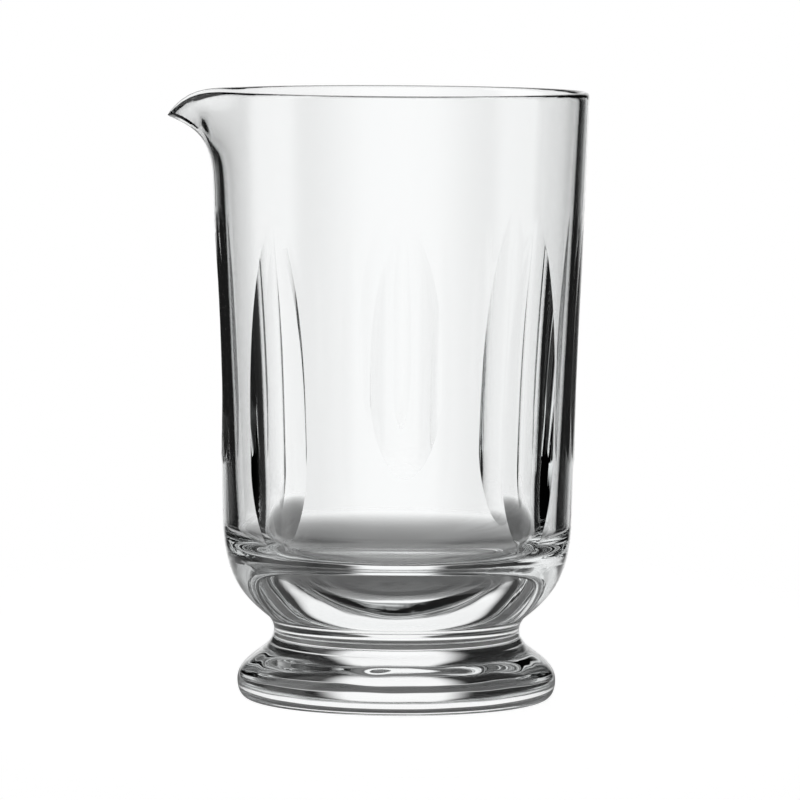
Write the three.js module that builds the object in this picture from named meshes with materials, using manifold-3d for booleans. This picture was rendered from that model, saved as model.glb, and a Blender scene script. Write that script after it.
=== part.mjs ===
// A stemmed mixing glass: a tall fluted bowl with a pulled pouring lip, a short waisted stem
// and a heavy round foot. Millimetres, +Z up, origin at the centre of the underside.
// The pouring lip points to -X and the first flute faces -Y.
import * as THREE from 'three';
import { mergeVertices } from 'three/addons/utils/BufferGeometryUtils.js';
import Module from 'manifold-3d';

// Foot
const footHeight = 15;
const footRadius = 42;
const footWidestHeight = 4.8;
const footEdgeRound = 3;

// Stem
const stemHeight = 6.5;
const stemWaistRadius = 32.4;
const stemFootRadius = 33.4;
const stemBowlRadius = 33.8;

// Bowl
const bowlHeight = 138.5;
const rimRadius = 49.8;
const shoulderRadius = 46;
const shoulderRise = 25.5;
const rimWall = 2.45;
const shoulderWall = 4;
const baseThickness = 6;
const bottomDepth = 19;

// Pouring lip
const lipReach = 12.2;
const lipDrop = 6.5;
const lipDepth = 30;
const lipHalfAngle = THREE.MathUtils.degToRad(34);
const lipThickening = 0.15;

// Handles of the drawn curves, as shares of the stretch that each one shapes
const footEdgeHandle = 0.6;
const footFlareHandle = 0.5;
const footNeckHandle = 0.28;
const neckSlope = 0.66;
const shoulderStart = { out: 0.52, up: 0.2 };
const shoulderHold = 0.62;

// Flutes, cut in a staggered row: the odd ones end lower on the bowl
const fluteCount = 8;
const fluteGrindRadius = 36;
const glassUnderFlute = 1.4;
const fluteBelowRim = 30;
const highFluteRise = 40.5;
const lowFluteRise = 19.5;
const fluteEndLength = 21;
const fluteEndPower = 1.6;
const fluteTipPower = 3;

// Smoothness
const turnSegments = 64;
const curveSegments = 8;
const roundSegments = 6;
const bottomSegments = 12;
const lipRows = 7;

const stemBase = footHeight;
const bowlBase = stemBase + stemHeight;
const rimHeight = bowlBase + bowlHeight;
const shoulderHeight = bowlBase + shoulderRise;
const lipRoot = rimHeight - lipDepth;
const wallLean = (rimRadius - shoulderRadius) / (rimHeight - shoulderHeight);

const wasm = await Module();
wasm.setup();

// Outside radius of the straight leaning wall at a height.
function wallRadius(z) {
  return shoulderRadius + wallLean * (z - shoulderHeight);
}

// Glass thickness of the straight wall at a height.
function wallThickness(z) {
  const share = (z - shoulderHeight) / (rimHeight - shoulderHeight);
  return THREE.MathUtils.lerp(shoulderWall, rimWall, share);
}

// Turns a profile of (radius, height) points about +Z, starting from the -Y side.
function turned(points, segments = turnSegments) {
  return new THREE.LatheGeometry(points, segments).rotateX(Math.PI / 2);
}

// A closed geometry as a solid that can be cut: shared points merged, empty triangles left out.
function toSolid(geometry) {
  geometry.deleteAttribute('normal');
  geometry.deleteAttribute('uv');
  const merged = mergeVertices(geometry);
  const index = merged.getIndex().array;
  const triangles = [];
  for (let i = 0; i < index.length; i += 3) {
    const [a, b, c] = index.slice(i, i + 3);
    if (a !== b && b !== c && c !== a) {
      triangles.push(a, b, c);
    }
  }
  return new wasm.Manifold(new wasm.Mesh({
    numProp: 3,
    vertProperties: Float32Array.from(merged.getAttribute('position').array),
    triVerts: Uint32Array.from(triangles),
  }));
}

// A cut solid back as a geometry with flat-shaded normals.
function toGeometry(solid) {
  const mesh = solid.getMesh();
  const geometry = new THREE.BufferGeometry();
  geometry.setAttribute('position', new THREE.BufferAttribute(mesh.vertProperties, 3));
  geometry.setIndex(new THREE.BufferAttribute(mesh.triVerts, 1));
  geometry.computeVertexNormals();
  return geometry;
}

// Points of one curve of a profile without its first point, so that curves chain up.
function along(curve, segments = curveSegments) {
  return curve.getPoints(segments).slice(1);
}

// Foot: flat underside, rounded edge, widest low down, flaring in to the stem.
function footProfile() {
  const edge = new THREE.CubicBezierCurve(
    new THREE.Vector2(footRadius - footEdgeRound, 0),
    new THREE.Vector2(footRadius - footEdgeRound * (1 - footEdgeHandle), 0),
    new THREE.Vector2(footRadius, footWidestHeight * (1 - footEdgeHandle)),
    new THREE.Vector2(footRadius, footWidestHeight),
  );
  const flareHeight = footHeight - footWidestHeight;
  const neckDrop = flareHeight * footNeckHandle;
  const flare = new THREE.CubicBezierCurve(
    edge.v3,
    new THREE.Vector2(footRadius, footWidestHeight + flareHeight * footFlareHandle),
    new THREE.Vector2(stemFootRadius + neckDrop * neckSlope, footHeight - neckDrop),
    new THREE.Vector2(stemFootRadius, footHeight),
  );
  return [
    new THREE.Vector2(0, 0),
    edge.v0,
    ...along(edge, roundSegments),
    ...along(flare),
    new THREE.Vector2(0, footHeight),
  ];
}

// Stem: a short solid waist between the foot and the bowl.
function stemProfile() {
  const pinch = 2 * stemWaistRadius - (stemFootRadius + stemBowlRadius) / 2;
  const waist = new THREE.QuadraticBezierCurve(
    new THREE.Vector2(stemFootRadius, stemBase),
    new THREE.Vector2(pinch, stemBase + stemHeight / 2),
    new THREE.Vector2(stemBowlRadius, bowlBase),
  );
  return [
    new THREE.Vector2(0, stemBase),
    waist.v0,
    ...along(waist, roundSegments),
    new THREE.Vector2(0, bowlBase),
  ];
}

// Bowl: round shoulder, straight wall leaning out, rounded rim, inside bottom half an ellipse.
function bowlProfile() {
  const swell = shoulderRadius - stemBowlRadius;
  const hold = shoulderRise * shoulderHold;
  const shoulder = new THREE.CubicBezierCurve(
    new THREE.Vector2(stemBowlRadius, bowlBase),
    new THREE.Vector2(stemBowlRadius + swell * shoulderStart.out, bowlBase + shoulderRise * shoulderStart.up),
    new THREE.Vector2(shoulderRadius - wallLean * hold, shoulderHeight - hold),
    new THREE.Vector2(shoulderRadius, shoulderHeight),
  );
  const outside = [];
  const inside = [];
  const rimRound = rimWall / 2;
  for (let row = 0; row <= lipRows; row += 1) {
    const z = THREE.MathUtils.lerp(lipRoot, rimHeight - rimRound, row / lipRows);
    outside.push(new THREE.Vector2(wallRadius(z), z));
    inside.unshift(new THREE.Vector2(wallRadius(z) - wallThickness(z), z));
  }
  const rimOut = outside.at(-1);
  const rimIn = inside[0];
  const rim = new THREE.EllipseCurve(
    (rimOut.x + rimIn.x) / 2, rimOut.y, (rimOut.x - rimIn.x) / 2, rimRound, 0, Math.PI,
  );
  const bottomTop = bowlBase + baseThickness + bottomDepth;
  const bottomOut = wallRadius(bottomTop) - wallThickness(bottomTop);
  const bottom = new THREE.EllipseCurve(
    0, bottomTop, bottomOut, bottomDepth, 0, -Math.PI / 2, true,
  );
  return [
    new THREE.Vector2(0, bowlBase),
    shoulder.v0,
    ...along(shoulder),
    ...outside,
    ...along(rim, roundSegments),
    ...inside.slice(1),
    ...bottom.getPoints(bottomSegments),
  ];
}

// Pulls the rim out and down at -X into a pouring lip. The pull fades to the sides and
// downwards, and lags a little on the inside so that the lip keeps its thickness.
function pullLip(geometry) {
  const position = geometry.getAttribute('position');
  const point = new THREE.Vector3();
  for (let i = 0; i < position.count; i += 1) {
    point.fromBufferAttribute(position, i);
    const radius = Math.hypot(point.x, point.y);
    const side = Math.atan2(point.y, -point.x);
    const lag = lipThickening * Math.max(0, wallRadius(point.z) - radius);
    const rise = (point.z - lag - lipRoot) / lipDepth;
    if (rise > 0 && Math.abs(side) < lipHalfAngle) {
      const pull = Math.cos((side / lipHalfAngle) * (Math.PI / 2)) ** 3;
      const reach = 1 + (lipReach * pull * rise ** 4) / radius;
      const drop = lipDrop * pull ** 3 * rise ** 2;
      position.setXYZ(i, point.x * reach, point.y * reach, point.z - drop);
    }
  }
  return geometry;
}

// Half-width of a flute as a share of its widest, along its length: an arched lower end and
// sides that run almost straight before they close to a point at the top.
function fluteShare(length, at) {
  if (at < fluteEndLength) {
    return Math.sqrt(1 - (1 - at / fluteEndLength) ** fluteEndPower);
  }
  return 1 - ((at - fluteEndLength) / (length - fluteEndLength)) ** fluteTipPower;
}

// The grinding path of one flute: a barrel whose side dips into the wall by the flute's depth.
function fluteCutter(rise) {
  const bottom = bowlBase + rise;
  const lean = Math.atan(wallLean);
  const length = (rimHeight - fluteBelowRim - bottom) / Math.cos(lean);
  const depth = wallThickness(bottom + fluteEndLength) - glassUnderFlute;
  const barrel = fluteGrindRadius - depth;
  const profile = [new THREE.Vector2(0, 0)];
  for (let step = 0; step <= curveSegments; step += 1) {
    const at = fluteEndLength * (1 - Math.cos((step / curveSegments) * (Math.PI / 2)));
    profile.push(new THREE.Vector2(barrel + depth * fluteShare(length, at) ** 2, at));
  }
  for (let step = 1; step <= curveSegments; step += 1) {
    const at = THREE.MathUtils.lerp(fluteEndLength, length, step / curveSegments);
    profile.push(new THREE.Vector2(barrel + depth * fluteShare(length, at) ** 2, at));
  }
  profile.push(new THREE.Vector2(0, length));
  return turned(profile)
    .translate(barrel, 0, 0)
    .rotateY(lean)
    .translate(wallRadius(bottom), 0, bottom);
}

// The bowl with its lip pulled and its flutes cut.
function bowlGeometry() {
  let solid = toSolid(pullLip(turned(bowlProfile())));
  for (let n = 0; n < fluteCount; n += 1) {
    const rise = n % 2 === 0 ? highFluteRise : lowFluteRise;
    const turn = (n / fluteCount) * 2 * Math.PI - Math.PI / 2;
    solid = solid.subtract(toSolid(fluteCutter(rise).rotateZ(turn)));
  }
  return toGeometry(solid);
}

// Clear glass, one material for each piece.
function glass() {
  return new THREE.MeshStandardMaterial({ color: 0xeaf1f2, roughness: 0.03, metalness: 0 });
}

// A named piece in its own material.
function piece(name, geometry) {
  const mesh = new THREE.Mesh(geometry, glass());
  mesh.name = name;
  return mesh;
}

const mixingGlass = new THREE.Group();
mixingGlass.add(
  piece('foot', toGeometry(toSolid(turned(footProfile())))),
  piece('stem', toGeometry(toSolid(turned(stemProfile())))),
  piece('bowl', bowlGeometry()),
);

export default mixingGlass;
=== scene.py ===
import math

import bpy
import numpy as np
from mathutils import Matrix, Vector


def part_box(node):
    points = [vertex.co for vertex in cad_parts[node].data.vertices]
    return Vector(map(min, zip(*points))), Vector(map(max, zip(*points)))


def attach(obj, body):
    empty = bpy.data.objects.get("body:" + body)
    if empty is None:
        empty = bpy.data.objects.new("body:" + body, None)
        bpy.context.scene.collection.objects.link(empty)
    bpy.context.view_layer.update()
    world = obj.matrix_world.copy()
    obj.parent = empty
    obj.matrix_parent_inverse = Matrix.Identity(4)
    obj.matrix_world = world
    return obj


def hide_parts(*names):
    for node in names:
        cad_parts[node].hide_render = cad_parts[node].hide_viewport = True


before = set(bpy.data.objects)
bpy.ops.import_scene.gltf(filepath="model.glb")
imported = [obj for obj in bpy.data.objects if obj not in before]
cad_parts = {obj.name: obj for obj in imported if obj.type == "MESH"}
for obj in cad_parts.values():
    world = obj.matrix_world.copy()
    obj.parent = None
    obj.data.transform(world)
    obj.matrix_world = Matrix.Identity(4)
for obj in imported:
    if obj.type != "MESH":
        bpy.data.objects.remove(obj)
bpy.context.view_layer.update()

# Sizes of the glass, in millimetres. Heights and joint places come from the CAD pieces.
MM = 0.001
FOOT_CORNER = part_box("foot")[1] / MM
STEM_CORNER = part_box("stem")[1] / MM
BOWL_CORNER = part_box("bowl")[1] / MM
FOOT_TOP = FOOT_CORNER.z
STEM_TOP = STEM_CORNER.z
RIM_HEIGHT = BOWL_CORNER.z
FOOT_RADIUS = FOOT_CORNER.x
RIM_RADIUS = BOWL_CORNER.x

FOOT_WIDEST_HEIGHT = 4.8
FOOT_EDGE_ROUND = 3.0
STEM_WAIST_RADIUS = 32.4
STEM_FOOT_RADIUS = 33.4
STEM_BOWL_RADIUS = 33.8
SHOULDER_RADIUS = 46.0
SHOULDER_RISE = 25.5
SHOULDER_HEIGHT = STEM_TOP + SHOULDER_RISE
RIM_WALL = 2.45
SHOULDER_WALL = 4.0
BASE_THICKNESS = 6.0
BOTTOM_DEPTH = 19.0
WALL_LEAN = (RIM_RADIUS - SHOULDER_RADIUS) / (RIM_HEIGHT - SHOULDER_HEIGHT)

# Pouring lip: its pull fades to the sides and downwards by these powers
LIP_REACH = 12.2
LIP_DROP = 6.5
LIP_DEPTH = 30.0
LIP_ROOT = RIM_HEIGHT - LIP_DEPTH
LIP_HALF_ANGLE = math.radians(34)
LIP_THICKENING = 0.15
LIP_SIDE_POWER = 3
LIP_REACH_POWER = 4
LIP_DROP_SIDE_POWER = 3
LIP_DROP_POWER = 2

# Flutes, in a staggered row: every second one starts lower on the bowl
FLUTE_COUNT = 8
FLUTE_GRIND_RADIUS = 36.0
GLASS_UNDER_FLUTE = 1.4
FLUTE_BELOW_RIM = 30.0
FLUTE_TOP = RIM_HEIGHT - FLUTE_BELOW_RIM
HIGH_FLUTE_RISE = 40.5
LOW_FLUTE_RISE = 19.5
FLUTE_BOTTOMS = (STEM_TOP + HIGH_FLUTE_RISE, STEM_TOP + LOW_FLUTE_RISE)
FLUTE_END_LENGTH = 21.0
FLUTE_END_POWER = 1.6
FLUTE_TIP_POWER = 3.0

# Handles of the drawn curves, as shares of the stretch that each one shapes
FOOT_EDGE_HANDLE = 0.6
FOOT_FLARE_HANDLE = 0.5
FOOT_NECK_OUT = 0.185
FOOT_NECK_DROP = 0.28
SHOULDER_START_OUT = 0.52
SHOULDER_START_UP = 0.2
SHOULDER_HOLD = 0.62

# Mesh fineness: columns round the glass, rows along each stretch, row steps in millimetres
FLUTE_COLUMNS = 16
LAND_COLUMNS = 8
TURN_COLUMNS = 256
FOOT_EDGE_ROWS = 24
FOOT_FLARE_ROWS = 32
STEM_ROWS = 24
SHOULDER_ROWS = 40
RIM_ROWS = 16
BOTTOM_ROWS = 48
WALL_STEP = 0.75
INSIDE_WALL_STEP = 3.0
CLOSED_FLUTE = math.radians(1.0)
SHARP_ANGLE = math.radians(11)

# Clear glass, and the slow ripple in its surface, strongest in the foot
GLASS_COLOUR = (0.995, 0.998, 0.998, 1.0)
GLASS_IOR = 1.52
RIPPLE_SCALE = 55
RIPPLE_DETAIL = 1.0
RIPPLE_HEIGHT = 0.001
BOWL_RIPPLE = 0.01
STEM_RIPPLE = 0.1
FOOT_RIPPLE = 0.25

# Camera, fitted to the photograph, in metres and millimetres of lens
CAMERA_DISTANCE = 1.575
CAMERA_HEIGHT = 0.207
CAMERA_TURN = math.radians(-2.5)
CAMERA_ROLL = math.radians(0.38)
CAMERA_AIM = Vector((0.0005, 0.0, 0.0786))
CAMERA_LENS = 270.0
CAMERA_SENSOR = 36
CAMERA_REACH = 20

# Studio panels: bearing from +Y, and half-widths where each is still bright and where it is dark, in degrees
BACK_BEARING = 3.0
BACK_BRIGHT = 11.5
BACK_DARK = 22.0
LEFT_BEARING = -90.0
LEFT_BRIGHT = 12.0
LEFT_DARK = 26.0
FRONT_BEARING = 180.0
FRONT_BRIGHT = 15.0
FRONT_DARK = 60.0
FRONT_LEVEL = 0.8
ROOM_LEVEL = 0.01

# Ceiling, by the sine of the height above the horizon
CEILING_START = 0.8
CEILING_SOFT = 0.15
CEILING_LEVEL = 0.2

# Floor, in metres: an oval that fades out, with an oval of painted shade round the foot and behind it, which
# only the glass shows
FLOOR_RADIUS = 0.5
FLOOR_SIDES = 128
FLOOR_GAP = 0.0003
FLOOR_COLOUR = (0.3, 0.3, 0.3, 1.0)
FLOOR_LIFT = 0.92
FLOOR_CENTRE = (0.0, 0.09, 0.0)
FLOOR_SIZE = (0.16, 0.32, 1.0)
FLOOR_FADE = 0.5
# Painted shade on the floor, seen only through the glass: where its oval sits, its size, where it fades and
# how dark it is
PAINTED_SHADE_CENTRE = (0.0, 0.04, 0.0)
PAINTED_SHADE_SIZE = (0.14, 0.22, 1.0)
PAINTED_SHADE_IN = 0.25
PAINTED_SHADE_OUT = 1.05
PAINTED_SHADE_LEVEL = 0.05

# How often light may bend or be mirrored on its way through the glass
LIGHT_BOUNCES = 40
GLOSSY_BOUNCES = 12
JOINT_CROSSINGS = 24


def wall_radius(z):
    """Outside radius of the straight leaning wall at a height."""
    return SHOULDER_RADIUS + WALL_LEAN * (z - SHOULDER_HEIGHT)


def wall_thickness(z):
    """Glass thickness of the straight wall at a height."""
    share = (z - SHOULDER_HEIGHT) / (RIM_HEIGHT - SHOULDER_HEIGHT)
    return SHOULDER_WALL + (RIM_WALL - SHOULDER_WALL) * share


def bezier(points, count):
    """Points of a cubic curve without its first point."""
    start, leave, arrive, end = np.array(points, float)
    t = np.linspace(0, 1, count + 1)[1:, None]
    u = 1 - t
    return u ** 3 * start + 3 * u ** 2 * t * leave + 3 * u * t ** 2 * arrive + t ** 3 * end


def arc(centre, radii, start, end, count):
    """Points of an elliptic arc without its first point, angles in degrees."""
    a = np.radians(np.linspace(start, end, count + 1)[1:])
    return np.stack([centre[0] + radii[0] * np.cos(a), centre[1] + radii[1] * np.sin(a)], 1)


def line(start, end, step):
    """Points of a straight stretch without its first point."""
    start, end = np.array(start, float), np.array(end, float)
    count = max(1, math.ceil(np.linalg.norm(end - start) / step))
    t = np.linspace(0, 1, count + 1)[1:, None]
    return start + (end - start) * t


def chain(first, *stretches):
    """A whole profile: its first point and the stretches that follow it."""
    return np.concatenate([np.array([first], float), *stretches])


def flute_share(length, at):
    """Half-width of a flute as a share of its widest: arched at the bottom, pointed at the top."""
    if not 0 < at < length:
        return 0.0
    if at < FLUTE_END_LENGTH:
        return math.sqrt(1 - (1 - at / FLUTE_END_LENGTH) ** FLUTE_END_POWER)
    return 1 - ((at - FLUTE_END_LENGTH) / (length - FLUTE_END_LENGTH)) ** FLUTE_TIP_POWER


def flute_at(z, bottom):
    """Half-width of the flute that starts at bottom, and the curvature of its hollow, at height z."""
    radius = wall_radius(z)
    curve = 0.5 * (1 / FLUTE_GRIND_RADIUS + 1 / radius)
    depth = wall_thickness(bottom + FLUTE_END_LENGTH) - GLASS_UNDER_FLUTE
    half = math.sqrt(depth / curve) * flute_share(FLUTE_TOP - bottom, z - bottom)
    return half, curve


def bowl_ring(radius, z, cut):
    """One ring of the bowl. Its columns run along the edges of the flutes, which sink into it
    where the ring is cut."""
    angles, sinks = [], []
    pitch = 2 * math.pi / FLUTE_COUNT
    for n in range(FLUTE_COUNT):
        half, curve = flute_at(z, FLUTE_BOTTOMS[n % 2]) if cut else (0.0, 0.0)
        edge = max(CLOSED_FLUTE, math.asin(half / radius))
        across = np.concatenate([
            np.linspace(-pitch / 2, -edge, LAND_COLUMNS, endpoint=False),
            np.linspace(-edge, edge, FLUTE_COLUMNS, endpoint=False),
            np.linspace(edge, pitch / 2, LAND_COLUMNS, endpoint=False),
        ])
        sink = np.maximum(0, (half ** 2 - (radius * np.sin(across)) ** 2) * curve)
        angles.append(n * pitch - math.pi / 2 + across)
        sinks.append(sink)
    angles = np.concatenate(angles)
    reach = radius - np.concatenate(sinks)
    return np.stack([reach * np.cos(angles), reach * np.sin(angles), np.full_like(angles, z)], 1)


def plain_ring(radius, z):
    """One ring of a plainly turned piece."""
    angles = np.linspace(0, 2 * math.pi, TURN_COLUMNS, endpoint=False)
    return np.stack([radius * np.cos(angles), radius * np.sin(angles), np.full_like(angles, z)], 1)


def pull_lip(points):
    """Pulls the rim out and down at -X into the pouring lip."""
    radius = np.hypot(points[:, 0], points[:, 1])
    side = np.arctan2(points[:, 1], -points[:, 0])
    lag = LIP_THICKENING * np.maximum(0, wall_radius(points[:, 2]) - radius)
    rise = np.clip((points[:, 2] - lag - LIP_ROOT) / LIP_DEPTH, 0, None)
    near = np.clip(np.abs(side) / LIP_HALF_ANGLE, 0, 1)
    pull = np.cos(near * math.pi / 2) ** LIP_SIDE_POWER
    reach = 1 + LIP_REACH * pull * rise ** LIP_REACH_POWER / np.maximum(radius, 1)
    out = points.copy()
    out[:, :2] *= reach[:, None]
    out[:, 2] -= LIP_DROP * pull ** LIP_DROP_SIDE_POWER * rise ** LIP_DROP_POWER
    return out


def closed_mesh(name, bottom, rings, top, joints):
    """A closed mesh from rings stacked between two points on the axis. joints tells whether the
    bottom and the top faces are hot joints to the next piece of glass."""
    count = len(rings[0])
    points = np.concatenate([[bottom], *rings, [top]])
    here = np.arange(count)
    after = (here + 1) % count
    faces = [np.stack([np.zeros(count, int), 1 + after, 1 + here], 1)]
    for n in range(len(rings) - 1):
        low, high = 1 + n * count, 1 + (n + 1) * count
        faces.append(np.stack([low + here, low + after, high + after, high + here], 1))
    last = 1 + (len(rings) - 1) * count
    faces.append(np.stack([last + here, last + after, np.full(count, len(points) - 1)], 1))
    mesh = bpy.data.meshes.new(name)
    mesh.from_pydata((points * MM).tolist(), [], [f for block in faces for f in block.tolist()])
    mesh.polygons.foreach_set("use_smooth", np.ones(len(mesh.polygons), bool))
    slots = np.zeros(len(mesh.polygons), np.int32)
    if joints[0]:
        slots[:count] = 1
    if joints[1]:
        slots[-count:] = 1
    mesh.polygons.foreach_set("material_index", slots)
    mesh.set_sharp_from_angle(angle=SHARP_ANGLE)
    mesh.update()
    return mesh


def make_foot():
    """The foot: flat underside, rounded edge, flaring in to the stem."""
    edge = FOOT_RADIUS - FOOT_EDGE_ROUND
    flare = FOOT_TOP - FOOT_WIDEST_HEIGHT
    profile = chain(
        (edge, 0),
        bezier([
            (edge, 0),
            (edge + FOOT_EDGE_HANDLE * FOOT_EDGE_ROUND, 0),
            (FOOT_RADIUS, (1 - FOOT_EDGE_HANDLE) * FOOT_WIDEST_HEIGHT),
            (FOOT_RADIUS, FOOT_WIDEST_HEIGHT),
        ], FOOT_EDGE_ROWS),
        bezier([
            (FOOT_RADIUS, FOOT_WIDEST_HEIGHT),
            (FOOT_RADIUS, FOOT_WIDEST_HEIGHT + FOOT_FLARE_HANDLE * flare),
            (STEM_FOOT_RADIUS + FOOT_NECK_OUT * flare, FOOT_TOP - FOOT_NECK_DROP * flare),
            (STEM_FOOT_RADIUS, FOOT_TOP),
        ], FOOT_FLARE_ROWS),
    )
    rings = [plain_ring(r, z) for r, z in profile]
    return closed_mesh("foot_glass", (0, 0, 0), rings, (0, 0, FOOT_TOP), (False, True))


def make_stem():
    """The stem: a short solid waist. Its curve's handles bring the middle to the waist's radius."""
    pinch = (8 * STEM_WAIST_RADIUS - STEM_FOOT_RADIUS - STEM_BOWL_RADIUS) / 6
    height = STEM_TOP - FOOT_TOP
    profile = chain(
        (STEM_FOOT_RADIUS, FOOT_TOP),
        bezier([
            (STEM_FOOT_RADIUS, FOOT_TOP),
            (pinch, FOOT_TOP + height / 3),
            (pinch, FOOT_TOP + height * 2 / 3),
            (STEM_BOWL_RADIUS, STEM_TOP),
        ], STEM_ROWS),
    )
    rings = [plain_ring(r, z) for r, z in profile]
    return closed_mesh("stem_glass", (0, 0, FOOT_TOP), rings, (0, 0, STEM_TOP), (True, True))


def bowl_outside(rim_out, rim_low):
    """Outside profile of the bowl, up its shoulder and its straight wall to the foot of the rim."""
    swell = SHOULDER_RADIUS - STEM_BOWL_RADIUS
    hold = SHOULDER_HOLD * SHOULDER_RISE
    return chain(
        (STEM_BOWL_RADIUS, STEM_TOP),
        bezier([
            (STEM_BOWL_RADIUS, STEM_TOP),
            (STEM_BOWL_RADIUS + SHOULDER_START_OUT * swell, STEM_TOP + SHOULDER_START_UP * SHOULDER_RISE),
            (SHOULDER_RADIUS - WALL_LEAN * hold, SHOULDER_HEIGHT - hold),
            (SHOULDER_RADIUS, SHOULDER_HEIGHT),
        ], SHOULDER_ROWS),
        line((SHOULDER_RADIUS, SHOULDER_HEIGHT), (rim_out, rim_low), WALL_STEP),
    )


def bowl_inside(rim_out, rim_low, floor_height):
    """Inside profile of the bowl, over the rounded rim and down the wall to its half-elliptic bottom,
    ending short of the axis."""
    rim_in = rim_out - wall_thickness(rim_low)
    rim_round = RIM_HEIGHT - rim_low
    bottom_top = floor_height + BOTTOM_DEPTH
    bottom_out = wall_radius(bottom_top) - wall_thickness(bottom_top)
    root_in = wall_radius(LIP_ROOT) - wall_thickness(LIP_ROOT)
    return np.concatenate([
        arc(((rim_out + rim_in) / 2, rim_low), (rim_round, rim_round), 0, 180, RIM_ROWS),
        line((rim_in, rim_low), (root_in, LIP_ROOT), WALL_STEP),
        line((root_in, LIP_ROOT), (bottom_out, bottom_top), INSIDE_WALL_STEP),
        arc((0, bottom_top), (bottom_out, BOTTOM_DEPTH), 0, -90, BOTTOM_ROWS)[:-1],
    ])


def make_bowl():
    """The bowl: shoulder, fluted wall, pulled lip, rounded rim and round inside bottom."""
    rim_low = RIM_HEIGHT - RIM_WALL / 2
    rim_out = wall_radius(rim_low)
    floor_height = STEM_TOP + BASE_THICKNESS
    rings = [pull_lip(bowl_ring(r, z, True)) for r, z in bowl_outside(rim_out, rim_low)]
    rings += [pull_lip(bowl_ring(r, z, False)) for r, z in bowl_inside(rim_out, rim_low, floor_height)]
    return closed_mesh("bowl_glass", (0, 0, STEM_TOP), rings, (0, 0, floor_height), (True, False))


def new_material(name):
    """A material with an empty node tree."""
    material = bpy.data.materials.new(name)
    material.use_nodes = True
    material.node_tree.nodes.clear()
    return material


def glass_material(name, ripple):
    """Clear glass with the faint, slow ripple that hot working leaves in its surface."""
    material = new_material(name)
    nodes, links = material.node_tree.nodes, material.node_tree.links
    output = nodes.new("ShaderNodeOutputMaterial")
    glass = nodes.new("ShaderNodeBsdfGlass")
    glass.inputs["Color"].default_value = GLASS_COLOUR
    glass.inputs["Roughness"].default_value = 0.0
    glass.inputs["IOR"].default_value = GLASS_IOR
    place = nodes.new("ShaderNodeTexCoord")
    wave = nodes.new("ShaderNodeTexNoise")
    wave.inputs["Scale"].default_value = RIPPLE_SCALE
    wave.inputs["Detail"].default_value = RIPPLE_DETAIL
    bump = nodes.new("ShaderNodeBump")
    bump.inputs["Strength"].default_value = ripple
    bump.inputs["Distance"].default_value = RIPPLE_HEIGHT
    links.new(place.outputs["Object"], wave.inputs["Vector"])
    links.new(wave.outputs["Fac"], bump.inputs["Height"])
    links.new(bump.outputs["Normal"], glass.inputs["Normal"])
    links.new(glass.outputs["BSDF"], output.inputs["Surface"])
    return material


def joint_material():
    """The hot joints between pieces, where the glass simply runs on."""
    material = new_material("fused_joint")
    nodes, links = material.node_tree.nodes, material.node_tree.links
    output = nodes.new("ShaderNodeOutputMaterial")
    clear = nodes.new("ShaderNodeBsdfTransparent")
    links.new(clear.outputs["BSDF"], output.inputs["Surface"])
    return material


def add_piece(mesh, node, ripple, joint):
    """Puts a piece of glass in the place of its CAD node."""
    mesh.materials.append(glass_material(mesh.name, ripple))
    mesh.materials.append(joint)
    piece = bpy.data.objects.new(mesh.name, mesh)
    bpy.context.scene.collection.objects.link(piece)
    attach(piece, "root")
    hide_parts(node)


def fill(tree, socket, value):
    """Links an output to a socket, or sets the socket to a plain value."""
    if isinstance(value, bpy.types.NodeSocket):
        tree.links.new(value, socket)
    else:
        socket.default_value = value


def math_node(tree, operation, *values):
    """One step of arithmetic in a node tree."""
    node = tree.nodes.new("ShaderNodeMath")
    node.operation = operation
    for socket, value in zip(node.inputs, values):
        fill(tree, socket, value)
    return node.outputs[0]


def ramp(tree, value, start, end, at_start, at_end):
    """A smooth step of a value between two levels."""
    node = tree.nodes.new("ShaderNodeMapRange")
    node.interpolation_type = "SMOOTHSTEP"
    fill(tree, node.inputs["Value"], value)
    fill(tree, node.inputs["From Min"], start)
    fill(tree, node.inputs["From Max"], end)
    fill(tree, node.inputs["To Min"], at_start)
    fill(tree, node.inputs["To Max"], at_end)
    return node.outputs["Result"]


def panel(tree, bearing, centre, bright, dark):
    """A bright panel of the studio round a bearing, fading out to the dim room at its sides."""
    turn = math_node(tree, "SUBTRACT", bearing, math.radians(centre))
    away = math_node(tree, "PINGPONG", turn, math.pi)
    return ramp(tree, away, math.radians(bright), math.radians(dark), 1.0, ROOM_LEVEL)


def studio_level(tree):
    """Brightness of the dim studio in each direction: panels behind, on the left and, weaker, in front
    of the glass, and a soft ceiling."""
    place = tree.nodes.new("ShaderNodeTexCoord")
    split = tree.nodes.new("ShaderNodeSeparateXYZ")
    tree.links.new(place.outputs["Generated"], split.inputs[0])
    x, y, z = split.outputs
    bearing = math_node(tree, "ARCTAN2", x, y)
    back = panel(tree, bearing, BACK_BEARING, BACK_BRIGHT, BACK_DARK)
    left = panel(tree, bearing, LEFT_BEARING, LEFT_BRIGHT, LEFT_DARK)
    front = panel(tree, bearing, FRONT_BEARING, FRONT_BRIGHT, FRONT_DARK)
    front = math_node(tree, "MULTIPLY", front, FRONT_LEVEL)
    room = math_node(tree, "MAXIMUM", math_node(tree, "MAXIMUM", back, left), front)
    above = ramp(tree, z, CEILING_START, CEILING_START + CEILING_SOFT, 0.0, 1.0)
    walls = math_node(tree, "MULTIPLY", room, math_node(tree, "SUBTRACT", 1.0, above))
    return math_node(tree, "MULTIPLY_ADD", above, CEILING_LEVEL, walls)


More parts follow.
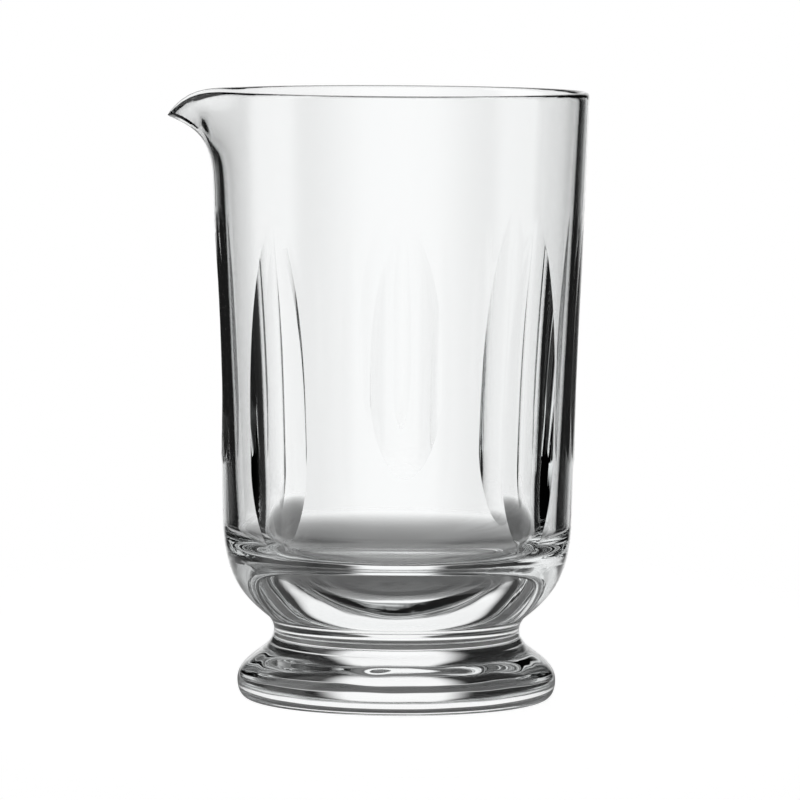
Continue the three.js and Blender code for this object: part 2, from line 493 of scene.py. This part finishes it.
def make_world():
    """The surroundings. The camera looks at plain white, and so does all light that is only bent on
    its way through the glass. What the glass mirrors, inside its walls too, is the studio."""
    world = bpy.data.worlds.new("studio")
    bpy.context.scene.world = world
    world.use_nodes = True
    tree = world.node_tree
    tree.nodes.clear()
    path = tree.nodes.new("ShaderNodeLightPath")
    background = tree.nodes.new("ShaderNodeBackground")
    background.inputs["Color"].default_value = (1, 1, 1, 1)
    output = tree.nodes.new("ShaderNodeOutputWorld")
    unmirrored = math_node(tree, "LESS_THAN", path.outputs["Glossy Depth"], 1)
    through = math_node(tree, "MULTIPLY", path.outputs["Is Transmission Ray"], unmirrored)
    white = math_node(tree, "MAXIMUM", path.outputs["Is Camera Ray"], through)
    level = math_node(tree, "MAXIMUM", white, studio_level(tree))
    tree.links.new(level, background.inputs["Strength"])
    tree.links.new(background.outputs["Background"], output.inputs["Surface"])


def spot(tree, centre, size):
    """Distance from the middle of an oval on the floor, 1 at its edge."""
    place = tree.nodes.new("ShaderNodeTexCoord")
    oval = tree.nodes.new("ShaderNodeMapping")
    oval.vector_type = "TEXTURE"
    oval.inputs["Location"].default_value = centre
    oval.inputs["Scale"].default_value = size
    distance = tree.nodes.new("ShaderNodeVectorMath")
    distance.operation = "LENGTH"
    tree.links.new(place.outputs["Object"], oval.inputs["Vector"])
    tree.links.new(oval.outputs["Vector"], distance.inputs[0])
    return distance.outputs["Value"]


def floor_material():
    """Floor that is white to the camera and through the glass, apart from an oval of painted shade round the
    foot and behind it that only the glass shows. It runs out into the white of the studio."""
    material = new_material("floor")
    tree = material.node_tree
    # Painted shade: inside this oval the floor's glow, as the glass shows it, falls to a low level, leaving
    # only the grey floor's own lit colour
    painted_shade_factor = ramp(tree, spot(tree, PAINTED_SHADE_CENTRE, PAINTED_SHADE_SIZE), PAINTED_SHADE_IN, PAINTED_SHADE_OUT, PAINTED_SHADE_LEVEL, 1.0)
    end = ramp(tree, spot(tree, FLOOR_CENTRE, FLOOR_SIZE), FLOOR_FADE, 1.0, 0.0, 1.0)
    path = tree.nodes.new("ShaderNodeLightPath")
    bent = math_node(tree, "MAXIMUM", path.outputs["Is Glossy Ray"], path.outputs["Is Transmission Ray"])
    through_glass = math_node(tree, "MULTIPLY", bent, painted_shade_factor)
    seen = math_node(tree, "MAXIMUM", path.outputs["Is Camera Ray"], through_glass)
    paint = tree.nodes.new("ShaderNodeBsdfDiffuse")
    paint.inputs["Color"].default_value = FLOOR_COLOUR
    glow = tree.nodes.new("ShaderNodeEmission")
    fill(tree, glow.inputs["Strength"], math_node(tree, "MULTIPLY", seen, FLOOR_LIFT))
    both = tree.nodes.new("ShaderNodeAddShader")
    clear = tree.nodes.new("ShaderNodeBsdfTransparent")
    mix = tree.nodes.new("ShaderNodeMixShader")
    output = tree.nodes.new("ShaderNodeOutputMaterial")
    fill(tree, mix.inputs["Fac"], end)
    tree.links.new(paint.outputs["BSDF"], both.inputs[0])
    tree.links.new(glow.outputs["Emission"], both.inputs[1])
    tree.links.new(both.outputs["Shader"], mix.inputs[1])
    tree.links.new(clear.outputs["BSDF"], mix.inputs[2])
    tree.links.new(mix.outputs["Shader"], output.inputs["Surface"])
    return material


def make_floor():
    """A round floor under the glass."""
    bpy.ops.mesh.primitive_circle_add(
        vertices=FLOOR_SIDES, radius=FLOOR_RADIUS, fill_type="TRIFAN", location=(0, 0, -FLOOR_GAP),
    )
    floor = bpy.context.object
    floor.name = "floor"
    floor.data.materials.append(floor_material())


def make_camera():
    """The camera at the photograph's angle: a long lens a little above the rim, rolled slightly."""
    camera = bpy.data.cameras.new("camera")
    camera.lens = CAMERA_LENS
    camera.sensor_width = CAMERA_SENSOR
    camera.clip_end = CAMERA_REACH
    seat = bpy.data.objects.new("camera", camera)
    bpy.context.scene.collection.objects.link(seat)
    seat.location = (
        math.sin(CAMERA_TURN) * CAMERA_DISTANCE,
        -math.cos(CAMERA_TURN) * CAMERA_DISTANCE,
        CAMERA_HEIGHT,
    )
    look = (CAMERA_AIM - seat.location).to_track_quat("-Z", "Y")
    seat.rotation_euler = (look.to_matrix() @ Matrix.Rotation(CAMERA_ROLL, 3, "Z")).to_euler()
    bpy.context.scene.camera = seat


def set_view():
    """Plain colours, and enough bounces for light to find its way through the glass."""
    scene = bpy.context.scene
    scene.view_settings.view_transform = "Standard"
    scene.cycles.max_bounces = LIGHT_BOUNCES
    scene.cycles.transmission_bounces = LIGHT_BOUNCES
    scene.cycles.glossy_bounces = GLOSSY_BOUNCES
    scene.cycles.transparent_max_bounces = JOINT_CROSSINGS


fused_joint = joint_material()
add_piece(make_bowl(), "bowl", BOWL_RIPPLE, fused_joint)
add_piece(make_stem(), "stem", STEM_RIPPLE, fused_joint)
add_piece(make_foot(), "foot", FOOT_RIPPLE, fused_joint)
make_world()
make_floor()
make_camera()
set_view()
